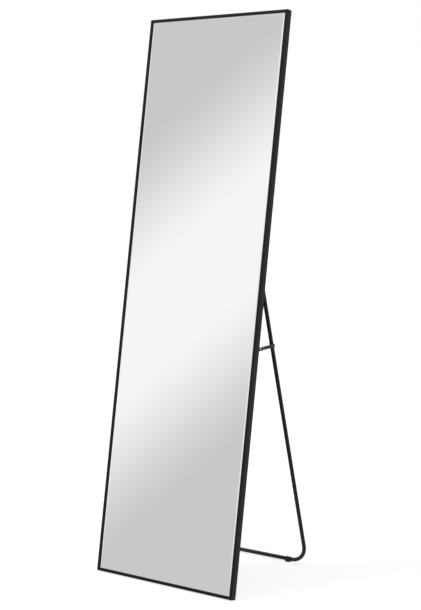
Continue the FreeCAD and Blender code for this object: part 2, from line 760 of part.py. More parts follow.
def flanged_rivet(name, side, flange_x, seat_x, y, z):
    """A rivet with a thin flange sunk in the inner link and a round head outside."""
    body = new_body(name)
    inner = f"{flange_x} + 2 * dims.running_fit"
    thin = f"{inner} + dims.rivet_flange"
    shank = "dims.rivet_radius"
    head = "dims.rivet_head_radius"
    crown = f"{seat_x} + dims.rivet_head_height"
    turn(body, "turned", "XY_Plane", "H", *mirrored(
        side, (inner, "0"), (inner, head), (thin, head), (thin, shank), (seat_x, shank),
        (seat_x, head), (crown, head), (crown, "0")))
    round_rim(body, (f"{side} * ({crown})", "0", "0"), f"{HEAD_ROUND} * dims.rivet_head_height")
    place(body, "0", y, z, "layout.stay_tilt")
    return keep(body)


def stay_leg_rivet(name, side):
    """The flush outer half of the rivet that joins the leg's link to the tube."""
    body = new_body(name)
    near, far = "layout.leg_link_in", "layout.leg_link_out"
    step = f"{far} - dims.rivet_flange + dims.running_fit"
    shank = "dims.rivet_radius"
    head = "dims.rivet_head_radius"
    turn(body, "turned", "XY_Plane", "H", *mirrored(
        side, (near, "0"), (near, shank), (step, shank), (step, head), (far, head), (far, "0")))
    along = "layout.link_length"
    place(body, "0", f"layout.stay_mid_y + {along} * cos(layout.stay_tilt)",
          f"layout.stay_mid_z + {along} * sin(layout.stay_tilt)", "layout.stay_tilt")
    return keep(body)


def stay_rivet_tail(name, side):
    """The inner half of the same rivet: its shank in the tube and its head on the tube's inside."""
    body = new_body(name)
    inside = "layout.tube_x - layout.tube_radius"
    end = "layout.tube_side - dims.running_fit"
    shank = "dims.rivet_radius"
    head = "dims.rivet_head_radius"
    crown = f"{inside} - dims.rivet_head_height"
    turn(body, "turned", "XY_Plane", "H", *mirrored(
        side, (crown, "0"), (crown, head), (inside, head), (inside, shank), (end, shank), (end, "0")))
    round_rim(body, (f"{side} * ({crown})", "0", "0"), f"{HEAD_ROUND} * dims.rivet_head_height")
    place_on_leg(body, "0", "-dims.stay_reach")
    return keep(body)


# ---- the assembly -------------------------------------------------------------------------------

ENDS = (("bottom", "0", 1), ("top", "dims.frame_height", -1))

for label, side in SIDES:
    frame_stile(f"frame_{label}_stile", side)
for label, end, up in ENDS:
    frame_rail(f"frame_{label}_rail", end, up)

corner_screws = []
for end_label, end, up in ENDS:
    for side_label, side in SIDES:
        corner_key(f"corner_key_{end_label}_{side_label}", side, end, up)
        for a, b in (("dims.screw_inset", "dims.corner_screw_reach"),
                     ("dims.corner_screw_reach", "dims.screw_inset")):
            corner_screws.append(screw(f"corner_screw_{len(corner_screws) + 1}",
                                       f"{side} * (layout.half_width - {a})",
                                       f"{end} + {up} * {b}", "0"))
group("corner_screws", corner_screws)

pane("mirror_glass", "dims.lip_depth", "layout.glass_back", bevelled=True)
pane("foam_sheet", "layout.glass_back", "layout.foam_back")
pane("backing_board", "layout.foam_back", "layout.board_back")

pivot_washers = []
for label, side in SIDES:
    floor_pad(f"floor_pad_{label}", side)
    bracket(f"pivot_bracket_{label}", side, "dims.pivot_height", "layout.pivot_ear_in",
            "dims.pivot_plate", "dims.pivot_screws", "dims.pivot_ear", "layout.bolt_hole")
    pivot_bolt(f"pivot_bolt_{label}", side)
    pivot_nut(f"pivot_nut_{label}", side)
    pivot_washers.append(washer(f"washer_{label}_inner", side, "layout.washer_in"))
    pivot_washers.append(washer(f"washer_{label}_outer", side, "layout.washer_out"))
    bracket(f"stay_bracket_{label}", side, "layout.stay_height", "layout.stay_ear_in",
            "dims.stay_plate", "dims.stay_screws", "dims.stay_ear", "layout.rivet_hole")
    flanged_rivet(f"stay_frame_rivet_{label}", side, "layout.frame_link_in", "layout.stay_ear_out",
                  "layout.stay_y", "layout.stay_z")
group("pivot_washers", pivot_washers)
bracket_screws("pivot_bracket_screws", "dims.pivot_height", "dims.pivot_screws")
bracket_screws("stay_bracket_screws", "layout.stay_height", "dims.stay_screws")

stand_tube()
for label, side in SIDES:
    tube_plug(f"tube_plug_{label}", side)
    stand_foot(f"stand_foot_{label}", side)
    stay_rivet_tail(f"stay_rivet_tail_{label}", side)
    stay_frame_link(f"stay_frame_link_{label}", side)
    stay_leg_link(f"stay_leg_link_{label}", side)
    flanged_rivet(f"stay_mid_rivet_{label}", side, "layout.leg_link_in", "layout.frame_link_out",
                  "layout.stay_mid_y", "layout.stay_mid_z")
    stay_leg_rivet(f"stay_leg_rivet_{label}", side)

doc.recompute()


# ---- checks and files ---------------------------------------------------------------------------

def check_document():
    """Stop if an object failed, a cut removed nothing or a sub-part has no sound solid."""
    for item in doc.Objects:
        if {"Invalid", "Error"} & set(item.State):
            raise RuntimeError(f"{item.Label} failed: {item.State}")
        if item.TypeId == "PartDesign::Pocket":
            before = item.BaseFeature.Shape.Volume
            if item.Shape.Volume > before - 1e-6:
                raise RuntimeError(f"{item.Label} cuts nothing")
    for piece in parts:
        shape = piece.Shape
        if shape.isNull() or not shape.isValid() or not shape.Solids:
            raise RuntimeError(f"{piece.Label} has no valid solid")


check_document()
os.makedirs("parts", exist_ok=True)
for piece in parts:
    piece.Shape.exportStep(f"parts/{piece.Label}.step")
print(f"{len(parts)} sub-parts written")
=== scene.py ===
import json
import logging
import math
from collections.abc import Callable
from dataclasses import dataclass
from enum import Enum

import bmesh
import bpy
import numpy as np
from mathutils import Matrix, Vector

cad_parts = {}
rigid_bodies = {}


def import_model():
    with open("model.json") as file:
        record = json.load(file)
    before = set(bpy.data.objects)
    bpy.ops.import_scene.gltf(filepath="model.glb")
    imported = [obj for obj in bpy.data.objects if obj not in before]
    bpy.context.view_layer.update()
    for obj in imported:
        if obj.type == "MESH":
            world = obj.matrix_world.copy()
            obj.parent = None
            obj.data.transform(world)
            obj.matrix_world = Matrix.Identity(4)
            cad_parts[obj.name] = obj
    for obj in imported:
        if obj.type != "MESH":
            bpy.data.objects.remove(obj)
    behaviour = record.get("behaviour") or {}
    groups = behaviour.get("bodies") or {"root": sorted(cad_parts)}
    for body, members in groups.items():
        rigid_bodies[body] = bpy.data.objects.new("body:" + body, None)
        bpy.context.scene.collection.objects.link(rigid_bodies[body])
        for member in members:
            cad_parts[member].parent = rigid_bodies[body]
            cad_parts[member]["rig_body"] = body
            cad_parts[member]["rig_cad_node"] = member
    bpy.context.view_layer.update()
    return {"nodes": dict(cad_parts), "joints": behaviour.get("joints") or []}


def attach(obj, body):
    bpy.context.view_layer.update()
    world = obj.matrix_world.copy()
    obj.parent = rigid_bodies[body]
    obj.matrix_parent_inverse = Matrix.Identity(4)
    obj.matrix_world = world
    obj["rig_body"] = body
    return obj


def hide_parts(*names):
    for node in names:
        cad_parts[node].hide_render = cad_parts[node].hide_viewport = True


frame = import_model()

# Looks of the leaning floor mirror: a slim black frame around a silvered glass, on a folding tube
# stand. Lengths are in metres and angles in radians unless a name says degrees.

log = logging.getLogger("floor_mirror")
MM = 0.001
WELD_REACH = 1e-6
FLAT_DEGREES = 1.0
EASED_SEGMENTS = 2
EASED_DEGREES = 40.0
EASED_CREASE_DEGREES = 35.0
Socket = bpy.types.NodeSocket


class Side(Enum):
    """The left or the right of someone who looks into the mirror."""

    LEFT = -1
    RIGHT = 1

    @property
    def label(self) -> str:
        """The side's word in the names of nodes and bodies."""
        return self.name.lower()


class End(Enum):
    """The bottom or the top of the frame: the value is the way inwards along its height."""

    BOTTOM = 1
    TOP = -1

    @property
    def label(self) -> str:
        """The end's word in the names of nodes."""
        return self.name.lower()


# ---- axes ---------------------------------------------------------------------------------------

def joint_point(name: str) -> Vector:
    """The place of a hinge in the row frame.

    Args:
        name: The joint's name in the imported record.

    Returns:
        Its position in metres.
    """
    return Vector(next(joint for joint in frame["joints"] if joint["name"] == name)["pos_m"])


def joint_travel(name: str) -> float:
    """How far a hinge turns in all, in radians."""
    low, high = next(joint for joint in frame["joints"] if joint["name"] == name)["range_deg"]
    return math.radians(high - low)


@dataclass(frozen=True)
class TiltedAxes:
    """Axes turned about the row's X axis, in which a leaning body stands upright.

    A point (y, z) on them lies at (y cos a - z sin a, y sin a + z cos a) in the row frame.
    """

    angle: float

    def matrix(self) -> np.ndarray:
        """The turn from these axes to the row frame, as three rows."""
        c, s = math.cos(self.angle), math.sin(self.angle)
        return np.array([[1.0, 0.0, 0.0], [0.0, c, -s], [0.0, s, c]])

    def to_row(self, points: np.ndarray) -> np.ndarray:
        """Points on these axes, taken to the row frame."""
        return points @ self.matrix().T

    def from_row(self, points: np.ndarray) -> np.ndarray:
        """Points in the row frame, taken to these axes."""
        return points @ self.matrix()

    def box(self, node: str) -> tuple[np.ndarray, np.ndarray]:
        """The lowest and highest corner of a CAD node on these axes.

        Args:
            node: The node's name.

        Returns:
            Two arrays of x, y and z.
        """
        mesh = frame["nodes"][node].data
        flat = np.empty(len(mesh.vertices) * 3)
        mesh.vertices.foreach_get("co", flat)
        points = self.from_row(flat.reshape(-1, 3))
        return points.min(axis=0), points.max(axis=0)


def mirror_axes() -> TiltedAxes:
    """Axes that lean with the mirror: its hinges lie one above the other on them."""
    pivot, stay = joint_point("stand_fold"), joint_point("stay_frame_right_turn")
    return TiltedAxes(-math.atan2(pivot.y - stay.y, pivot.z - stay.z))


def leg_axes() -> TiltedAxes:
    """Axes that lean with the open stand: the fold's travel less the mirror's lean."""
    return TiltedAxes(joint_travel("stand_fold") + mirror_axes().angle)


ROW_AXES = TiltedAxes(0.0)


# ---- meshes -------------------------------------------------------------------------------------

def ring_shell(name: str, points: np.ndarray, looped: bool = False,
               uv: np.ndarray | None = None) -> bpy.types.Object:
    """A closed shell over rows of rings.

    Each row of the grid is a closed ring. Neighbouring rows are joined by quads, and the first and
    last row either meet, which gives a hollow piece its wall, or are each closed by one flat face.

    Args:
        name: The piece's name.
        points: The grid, rows by columns by 3, in the row frame.
        looped: True where the last row joins the first.
        uv: Rows by columns + 1 by 2, with the seam's second value in the last column.

    Returns:
        The new object, with its faces pointing outwards.
    """
    rows, columns, _ = points.shape
    row = np.arange(rows if looped else rows - 1)[:, None]
    column = np.arange(columns)[None, :]
    after, beside = (row + 1) % rows, (column + 1) % columns
    quads = np.stack([row * columns + column, row * columns + beside,
                      after * columns + beside, after * columns + column], axis=-1)
    faces = quads.reshape(-1, 4).tolist()
    if not looped:
        faces.append(list(range(columns))[::-1])
        faces.append(list(range((rows - 1) * columns, rows * columns)))
    mesh = bpy.data.meshes.new(name)
    mesh.from_pydata(points.reshape(-1, 3).tolist(), [], faces)
    if uv is not None:
        row, column = np.broadcast_arrays(row, column)
        after = row + 1
        spots = np.stack([uv[row, column], uv[row, column + 1],
                          uv[after, column + 1], uv[after, column]], axis=-2)
        layer = mesh.uv_layers.new(name="grain")
        flat = np.zeros((len(mesh.loops), 2), np.float32)
        flat[:spots.size // 2] = spots.reshape(-1, 2)
        layer.data.foreach_set("uv", flat.ravel())
    piece = bpy.data.objects.new(name, mesh)
    bpy.context.scene.collection.objects.link(piece)
    with_mesh(piece, lambda bm: bmesh.ops.recalc_face_normals(bm, faces=bm.faces))
    return piece


def with_mesh(piece: bpy.types.Object, change: Callable[[bmesh.types.BMesh], object]) -> None:
    """Run a change on a piece's mesh through bmesh and write it back.

    Args:
        piece: The piece.
        change: Changes the mesh that it is given.
    """
    bm = bmesh.new()
    bm.from_mesh(piece.data)
    change(bm)
    bm.to_mesh(piece.data)
    bm.free()


def smooth(piece: bpy.types.Object, degrees: float) -> None:
    """Shade a piece smoothly, with edges sharper than an angle left crisp."""
    piece.data.shade_smooth()
    piece.data.set_sharp_from_angle(angle=math.radians(degrees))


def rounded_outline(corners: np.ndarray, reach: np.ndarray, steps: int) -> np.ndarray:
    """A closed outline with each corner turned into a short curve.

    A corner c with reach r becomes the curve (1-t)^2 a + 2t(1-t) c + t^2 b, where a and b lie r
    before and r past the corner on the outline's own sides.

    Args:
        corners: Corners by 2.
        reach: How far each corner's curve runs along its sides.
        steps: Points on each curve.

    Returns:
        Corners times steps by 2.
    """
    towards = np.roll(corners, 1, axis=0) - corners
    onwards = np.roll(corners, -1, axis=0) - corners
    towards /= np.linalg.norm(towards, axis=1, keepdims=True)
    onwards /= np.linalg.norm(onwards, axis=1, keepdims=True)
    before = (corners + towards * reach[:, None])[:, None]
    past = (corners + onwards * reach[:, None])[:, None]
    t = np.linspace(0.0, 1.0, steps)[None, :, None]
    curve = (1 - t) ** 2 * before + 2 * t * (1 - t) * corners[:, None] + t ** 2 * past
    return curve.reshape(-1, 2)


def eased_copy(node: str, width: float, body: str) -> bpy.types.Object:
    """A copy of a CAD node with softened edges, which takes the node's place.

    The copy's loose triangles are merged and its flat faces joined, and a narrow bevel then takes
    the sharpness off its edges, as tumbling or plating does on the real piece.

    Args:
        node: The CAD node's name.
        width: The bevel's width.
        body: The body that it rides on.

    Returns:
        The new object.
    """
    source = frame["nodes"][node]
    piece = source.copy()
    piece.data = source.data.copy()
    piece.name = f"{node}_eased"
    piece.parent = None
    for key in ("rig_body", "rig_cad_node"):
        if key in piece:
            del piece[key]
    bpy.context.scene.collection.objects.link(piece)

    def merge(bm: bmesh.types.BMesh) -> None:
        """Join the loose triangles and the faces that lie in one plane.

        Args:
            bm: The copy's mesh.
        """
        bmesh.ops.remove_doubles(bm, verts=bm.verts, dist=WELD_REACH)
        bmesh.ops.dissolve_limit(bm, angle_limit=math.radians(FLAT_DEGREES), verts=bm.verts,
                                 edges=bm.edges)

    with_mesh(piece, merge)
    bevel = piece.modifiers.new("soft_edges", "BEVEL")
    bevel.width = width
    bevel.segments = EASED_SEGMENTS
    bevel.limit_method = "ANGLE"
    bevel.angle_limit = math.radians(EASED_DEGREES)
    bevel.use_clamp_overlap = True
    smooth(piece, EASED_CREASE_DEGREES)
    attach(piece, body)
    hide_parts(node)
    return piece


# ---- finishes -----------------------------------------------------------------------------------

class NodeSheet:
    """The nodes of one material or world, added and joined by short calls.

    The Mix node's sockets share their names, so its colour ones are found by number.
    """

    MIX_FIRST = 6
    MIX_SECOND = 7
    MIX_RESULT = 2

    def __init__(self, tree: bpy.types.NodeTree) -> None:
        """Start on an emptied node tree."""
        self.tree = tree
        tree.nodes.clear()

    def add(self, kind: str, **settings: object) -> bpy.types.Node:
        """A new node.

        Args:
            kind: The node's type.
            settings: Its properties and their values.

        Returns:
            The node.
        """
        node = self.tree.nodes.new(kind)
        for name, value in settings.items():
            setattr(node, name, value)
        return node

    def join(self, source: Socket, target: Socket) -> None:
        """Link an output to an input."""
        self.tree.links.new(source, target)

    def feed(self, socket: Socket, value: Socket | float) -> None:
        """Link a socket to another, or set it to a plain value.

        Args:
            socket: The input.
            value: The other socket, or the number.
        """
        if isinstance(value, Socket):
            self.join(value, socket)
        else:
            socket.default_value = value

    def math(self, operation: str, *values: Socket | float) -> Socket:
        """A Math node.

        Args:
            operation: What it works out.
            values: The sockets or numbers that it works on.

        Returns:
            Its output socket.
        """
        node = self.add("ShaderNodeMath", operation=operation)
        for socket, value in zip(node.inputs, values):
            self.feed(socket, value)
        return node.outputs[0]

    def fade(self, value: Socket | float, low: float, high: float, at_low: float,
             at_high: float) -> Socket:
        """A smooth change from one number to another.

        Args:
            value: What the change follows.
            low: The value at which it begins.
            high: The value at which it ends.
            at_low: The number up to its beginning.
            at_high: The number from its end on.

        Returns:
            The output socket.
        """
        node = self.add("ShaderNodeMapRange", interpolation_type="SMOOTHSTEP")
        for socket, number in zip(node.inputs, (value, low, high, at_low, at_high)):
            self.feed(socket, number)
        return node.outputs["Result"]

    def towards(self, start: Socket | float, goal: Socket | float,
                share: Socket | float) -> Socket:
        """A value moved by a share from a start to a goal: start + share (goal - start)."""
        return self.math("ADD", start, self.math("MULTIPLY", share,
                                                 self.math("SUBTRACT", goal, start)))

    def noise(self, vector: Socket, scale: float, detail: float = 3.0,
              rough: float = 0.55) -> Socket:
        """A noise over a vector.

        Args:
            vector: The coordinates.
            scale: How fine it is.
            detail: How many finer layers are added.
            rough: How strong the finer layers are.

        Returns:
            Its value socket.
        """
        node = self.add("ShaderNodeTexNoise")
        self.join(vector, node.inputs["Vector"])
        node.inputs["Scale"].default_value = scale
        node.inputs["Detail"].default_value = detail
        node.inputs["Roughness"].default_value = rough
        return node.outputs[0]

    def blend(self, share: Socket, first: tuple[float, float, float],
              second: tuple[float, float, float]) -> Socket:
        """A colour between two.

        Args:
            share: How much of the second colour there is.
            first: The first colour.
            second: The second colour.

        Returns:
            The colour socket.
        """
        node = self.add("ShaderNodeMix", data_type="RGBA")
        self.join(share, node.inputs["Factor"])
        node.inputs[self.MIX_FIRST].default_value = (*first, 1.0)
        node.inputs[self.MIX_SECOND].default_value = (*second, 1.0)
        return node.outputs[self.MIX_RESULT]

    def stretch(self, source: str, scale: tuple[float, float, float]) -> Socket:
        """Coordinates, scaled along each axis.

        Args:
            source: Object or UV.
            scale: The scale along each axis.

        Returns:
            The vector socket.
        """
        coordinates = self.add("ShaderNodeTexCoord")
        mapping = self.add("ShaderNodeMapping")
        self.join(coordinates.outputs[source], mapping.inputs["Vector"])
        mapping.inputs["Scale"].default_value = scale
        return mapping.outputs["Vector"]


@dataclass(frozen=True)
class Finish:
    """A finish with a fine texture: two near colours, a band of roughness and a shallow relief.

    The noise n runs from 0 to 1 over the surface. The colour goes from dark to light with it, the
    roughness from low to high within the grain's span, and the relief is n times its depth.
    """

    name: str
    dark: tuple[float, float, float]
    light: tuple[float, float, float]
    roughness: tuple[float, float]
    grain: float
    metallic: float = 0.0
    specular: float = 0.5
    relief: float = 0.0
    source: str = "Object"
    stretched: tuple[float, float, float] = (1.0, 1.0, 1.0)
    detail: float = 3.0
    grain_span: tuple[float, float] = (0.25, 0.75)

    def material(self) -> bpy.types.Material:
        """The finish as a material, made once.

        Returns:
            The material.
        """
        found = bpy.data.materials.get(self.name)
        if found is not None:
            return found
        made = bpy.data.materials.new(self.name)
        made.use_nodes = True
        sheet = NodeSheet(made.node_tree)
        shader = sheet.add("ShaderNodeBsdfPrincipled")
        output = sheet.add("ShaderNodeOutputMaterial")
        sheet.join(shader.outputs["BSDF"], output.inputs["Surface"])
        shader.inputs["Metallic"].default_value = self.metallic
        shader.inputs["Specular IOR Level"].default_value = self.specular
        grain = self.texture(sheet)
        sheet.join(sheet.blend(grain, self.dark, self.light), shader.inputs["Base Color"])
        sheet.join(sheet.fade(grain, *self.grain_span, *self.roughness),
                   shader.inputs["Roughness"])
        if self.relief:
            bump = sheet.add("ShaderNodeBump")
            bump.inputs["Strength"].default_value = 1.0
            bump.inputs["Distance"].default_value = self.relief
            sheet.join(grain, bump.inputs["Height"])
            sheet.join(bump.outputs["Normal"], shader.inputs["Normal"])
        return made

    def texture(self, sheet: NodeSheet) -> Socket:
        """The finish's own pattern, as a value socket."""
        return sheet.noise(sheet.stretch(self.source, self.stretched), self.grain, self.detail)

    def dress(self, piece: bpy.types.Object) -> bpy.types.Object:
        """Give a piece this finish on all its slots.

        Args:
            piece: The piece.

        Returns:
            The same piece.
        """
        piece.data.materials.clear()
        piece.data.materials.append(self.material())
        return piece


@dataclass(frozen=True)
class FibreFinish(Finish):
    """Pressed wood fibre: broad clouds, with short fibres laid over them at a finer scale."""

    clouds: float = 14.0
    cloud_share: float = 0.45
    fibre_rough: float = 0.7

    def texture(self, sheet: NodeSheet) -> Socket:
        """Clouds a and fibres b, added as share a + (1 - share) b.

        Args:
            sheet: The material's nodes.

        Returns:
            The value socket.
        """
        clouds = sheet.noise(sheet.stretch("Object", (1.0, 1.0, 1.0)), self.clouds)
        fibres = sheet.noise(sheet.stretch("Object", self.stretched), self.grain, self.detail,
                             self.fibre_rough)
        return sheet.math("ADD", sheet.math("MULTIPLY", clouds, self.cloud_share),
                          sheet.math("MULTIPLY", fibres, 1.0 - self.cloud_share))


SATIN_ANODISED = Finish("satin_anodised", (0.0045, 0.0045, 0.005), (0.008, 0.008, 0.0085),
                        (0.38, 0.46), 1.0, specular=0.15, relief=0.000004, source="UV",
                        stretched=(35.0, 5200.0, 1.0))
POWDER_COAT = Finish("powder_coat", (0.005, 0.005, 0.0053), (0.009, 0.009, 0.0093),
                     (0.34, 0.44), 1100.0, specular=0.24, relief=0.00003)
SILVERING = Finish("silvering", (0.925, 0.93, 0.928), (0.93, 0.935, 0.933), (0.010, 0.016), 3.0,
                   metallic=1.0)
GLASS_FOAM = Finish("closed_cell_foam", (0.74, 0.74, 0.72), (0.86, 0.86, 0.84), (0.8, 0.95), 900.0,
                    relief=0.0001)
HARDBOARD = FibreFinish("hardboard", (0.035, 0.017, 0.008), (0.255, 0.15, 0.082), (0.5, 0.68),
                        420.0, relief=0.00004, stretched=(0.35, 1.0, 1.0), detail=6.0)
SOFT_RUBBER = Finish("soft_rubber", (0.012, 0.012, 0.012), (0.022, 0.022, 0.022), (0.66, 0.8),
                     1500.0, specular=0.35, relief=0.00003)
MOULDED_PLASTIC = Finish("moulded_plastic", (0.02, 0.02, 0.02), (0.03, 0.03, 0.03), (0.42, 0.55),
                         1800.0, relief=0.00002)
NYLON = Finish("nylon", (0.034, 0.034, 0.034), (0.048, 0.048, 0.047), (0.38, 0.5), 800.0)
DARK_ZINC = Finish("dark_zinc", (0.06, 0.06, 0.065), (0.12, 0.12, 0.125), (0.28, 0.46), 650.0,
                   metallic=0.9, relief=0.000006)
RIVET_STEEL = Finish("rivet_steel", (0.12, 0.12, 0.125), (0.2, 0.2, 0.205), (0.24, 0.4), 700.0,
                     metallic=0.9, relief=0.000006)
MILL_ALLOY = Finish("mill_alloy", (0.5, 0.5, 0.51), (0.6, 0.6, 0.61), (0.34, 0.5), 260.0,
                    metallic=1.0, stretched=(1.0, 1.0, 12.0))


# ---- the frame ----------------------------------------------------------------------------------

@dataclass
class MirrorFrame:
    """Four mitred members of one drawn section, with rounded arrises."""

    face: float = 8.5 * MM
    wall: float = 1.2 * MM
    lip: float = 2.0 * MM
    flange: float = 24.0 * MM
    back_web: float = 11.0 * MM
    arris: float = 0.8 * MM
    lip_arris: float = 0.4 * MM
    inner_arris: float = 0.15 * MM
    mitre_gap: float = 0.1 * MM
    curve_steps: int = 5
    crease_degrees: float = 30.0

    def section(self, depth: float) -> np.ndarray:
        """The section's outline: inset from the outer side, and depth behind the face.

        Args:
            depth: The frame's depth.

        Returns:
            Points by 2, with rounded corners.
        """
        inner = self.face - self.wall
        corners = np.array([
            (0, 0), (self.face, 0), (self.face, self.lip), (inner, self.lip), (inner, self.wall),
            (self.wall, self.wall), (self.wall, self.back_web), (self.flange, self.back_web),
            (self.flange, depth), (0, depth),
        ])
        soft, fine, tight = self.arris, self.lip_arris, self.inner_arris
        reach = np.array([soft, fine, tight, tight, tight, tight, tight, fine, fine, soft])
        return rounded_outline(corners, reach, self.curve_steps)

    def member(self, name: str, section: np.ndarray, length: float,
               place: Callable[[np.ndarray, np.ndarray, np.ndarray], np.ndarray]
               ) -> bpy.types.Object:
        """One member: the section carried along its length, with both ends mitred.

        A point at inset s runs from s + gap to length - s - gap, so the ends lie at 45 degrees.

        Args:
            name: The piece's name.
            section: The outline from section().
            length: The member's outer length.
            place: Takes arrays of inset, depth and distance along to points in the row frame.

        Returns:
            The new object.
        """
        inset, depth = section[:, 0], section[:, 1]
        start = inset + self.mitre_gap
        along = np.stack([start, length - start])
        rows = np.broadcast_to(inset, along.shape), np.broadcast_to(depth, along.shape)
        closed = np.vstack([section, section[:1]])
        girth = np.concatenate([[0.0], np.cumsum(np.linalg.norm(np.diff(closed, axis=0), axis=1))])
        run = np.hstack([along, along[:, :1]])
        uv = np.stack([run, np.broadcast_to(girth, run.shape)], axis=-1)
        piece = ring_shell(name, place(*rows, along), uv=uv)
        smooth(piece, self.crease_degrees)
        return piece

    def build(self) -> None:
        """Make the four members and put them in the place of their nodes."""
        axes = mirror_axes()
        low, high = axes.box("frame_left_stile")
        right = axes.box("frame_right_stile")[1][0]
        bottom, top = axes.box("frame_bottom_rail")[0][2], axes.box("frame_top_rail")[1][2]
        front, depth = low[1], high[1] - low[1]
        section = self.section(depth)
        for side in Side:
            def stile(inset: np.ndarray, deep: np.ndarray, along: np.ndarray,
                      side: Side = side) -> np.ndarray:
                """Insets run across the mirror, and the length up it."""
                points = np.stack([side.value * (right - inset), front + deep, bottom + along], -1)
                return axes.to_row(points)
            self.finish(self.member(f"{side.label}_member", section, top - bottom, stile),
                        f"frame_{side.label}_stile")
        for end in End:
            edge = bottom if end is End.BOTTOM else top

            def rail(inset: np.ndarray, deep: np.ndarray, along: np.ndarray, end: End = end,
                     edge: float = edge) -> np.ndarray:
                """Insets run up or down the mirror, and the length across it."""
                points = np.stack([along - right, front + deep, edge + end.value * inset], -1)
                return axes.to_row(points)
            self.finish(self.member(f"{end.label}_member", section, 2 * right, rail),
                        f"frame_{end.label}_rail")

    def finish(self, piece: bpy.types.Object, node: str) -> None:
        """Dress a member and let it stand for its node.

        Args:
            piece: The member.
            node: The CAD node's name.
        """
        SATIN_ANODISED.dress(piece)
        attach(piece, "mirror")
        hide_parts(node)
        log.info("%s stands for %s", piece.name, node)


@dataclass
class MirrorPanel:
    """The silvered glass with its polished bevel, the foam behind it and the board."""

    def build(self) -> None:
        """Dress the three sheets, whose solids already have their shape."""
        SILVERING.dress(frame["nodes"]["mirror_glass"])
        GLASS_FOAM.dress(frame["nodes"]["foam_sheet"])
        HARDBOARD.dress(frame["nodes"]["backing_board"])
        log.info("glass, foam and board dressed")


@dataclass
class Fasteners:
    """Keys, screws, bolts, nuts, washers and brackets of the frame and the pivots."""

    screw_ease: float = 0.12 * MM
    sheet_ease: float = 0.3 * MM

    def build(self) -> None:
        """Ease the screws, bolts, nuts and brackets, and dress each of them."""
        for end in End:
            for side in Side:
                MILL_ALLOY.dress(frame["nodes"][f"corner_key_{end.label}_{side.label}"])
        for node in ("corner_screws", "pivot_bracket_screws", "stay_bracket_screws"):
            DARK_ZINC.dress(eased_copy(node, self.screw_ease, "mirror"))
        NYLON.dress(frame["nodes"]["pivot_washers"])
        for side in Side:
            for kind in ("pivot_bracket", "stay_bracket"):
                piece = eased_copy(f"{kind}_{side.label}", self.sheet_ease, "mirror")
                POWDER_COAT.dress(piece)
            for kind in ("pivot_bolt", "pivot_nut"):
                piece = eased_copy(f"{kind}_{side.label}", self.screw_ease, "mirror")
                DARK_ZINC.dress(piece)
            RIVET_STEEL.dress(frame["nodes"][f"stay_frame_rivet_{side.label}"])
            SOFT_RUBBER.dress(frame["nodes"][f"floor_pad_{side.label}"])
        log.info("fasteners dressed")


# ---- the stand ----------------------------------------------------------------------------------

